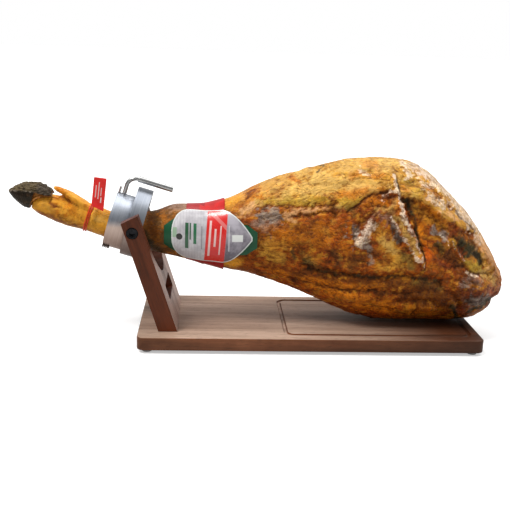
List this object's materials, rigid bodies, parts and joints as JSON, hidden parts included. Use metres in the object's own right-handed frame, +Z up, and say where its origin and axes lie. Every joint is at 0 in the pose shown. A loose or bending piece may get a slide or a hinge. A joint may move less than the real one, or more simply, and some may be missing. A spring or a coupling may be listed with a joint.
{
  "type": "cured ham on a carving stand",
  "caption": "Whole bone-in cured ham with its hoof, its shank held in a tilting ring clamp with an L-shaped screw on a forked walnut post and a grooved carving board.",
  "frame": {"origin": "bottom centre of the whole object's box, under the middle of the board's depth at the bottom of the feet", "axes": "+X along the board from the hoof towards the butt of the ham, +Y across the board away from the side that shows the label, +Z up"},
  "size_m": [0.737, 0.2, 0.274],
  "materials": {
    "walnut_board": "oiled walnut, grain along the board",
    "walnut_post": "oiled dark walnut, grain up the post",
    "rubber": "matt",
    "black_steel": "black oxide, satin",
    "nylon": "matt",
    "aluminium": "turned and brushed round the axis",
    "steel": "polished",
    "cured_ham": "dried fat, rind and meat, oily in places, with dark mould patches",
    "horn": "dark horn with a rough olive-grey sole",
    "toe_skin": "dried yellow skin with a grey nail",
    "red_film": "glossy",
    "green_film": "satin",
    "label_card": "pale planked print with a red band and a silver rim, glossy"
  },
  "bodies": {
    "stand": {"board": "walnut_board", "foot_1": "rubber", "foot_2": "rubber", "foot_3": "rubber", "foot_4": "rubber", "post": "walnut_post", "bolt_near": "black_steel", "bolt_far": "black_steel", "spacer_near": "nylon", "spacer_far": "nylon"},
    "clamp": {"collar_outer": "aluminium", "collar_inner": "aluminium", "grip_jaw": "black_steel", "lock_pin": "steel", "ham": "cured_ham", "hoof_near": "horn", "hoof_far": "horn", "dewclaw_near": "toe_skin", "dewclaw_far": "toe_skin", "ribbon": "red_film", "label_backing": "green_film", "label_card": "label_card", "tag": "red_film", "tag_strap_1": "red_film", "tag_strap_2": "red_film"},
    "screw": {"clamp_screw": "steel", "screw_sleeve": "steel"}
  },
  "joints": [
    {"name": "clamp_tilt", "type": "hinge", "parent": "stand", "child": "clamp", "pos_m": [-0.1875, 0, 0.168], "axis": [0, -1, 0], "range_deg": [0, 25]},
    {"name": "screw_turn", "type": "hinge", "parent": "clamp", "child": "screw", "pos_m": [-0.20524, 0, 0.20981], "axis": [0.279, 0, 0.9603], "continuous": true}
  ]
}
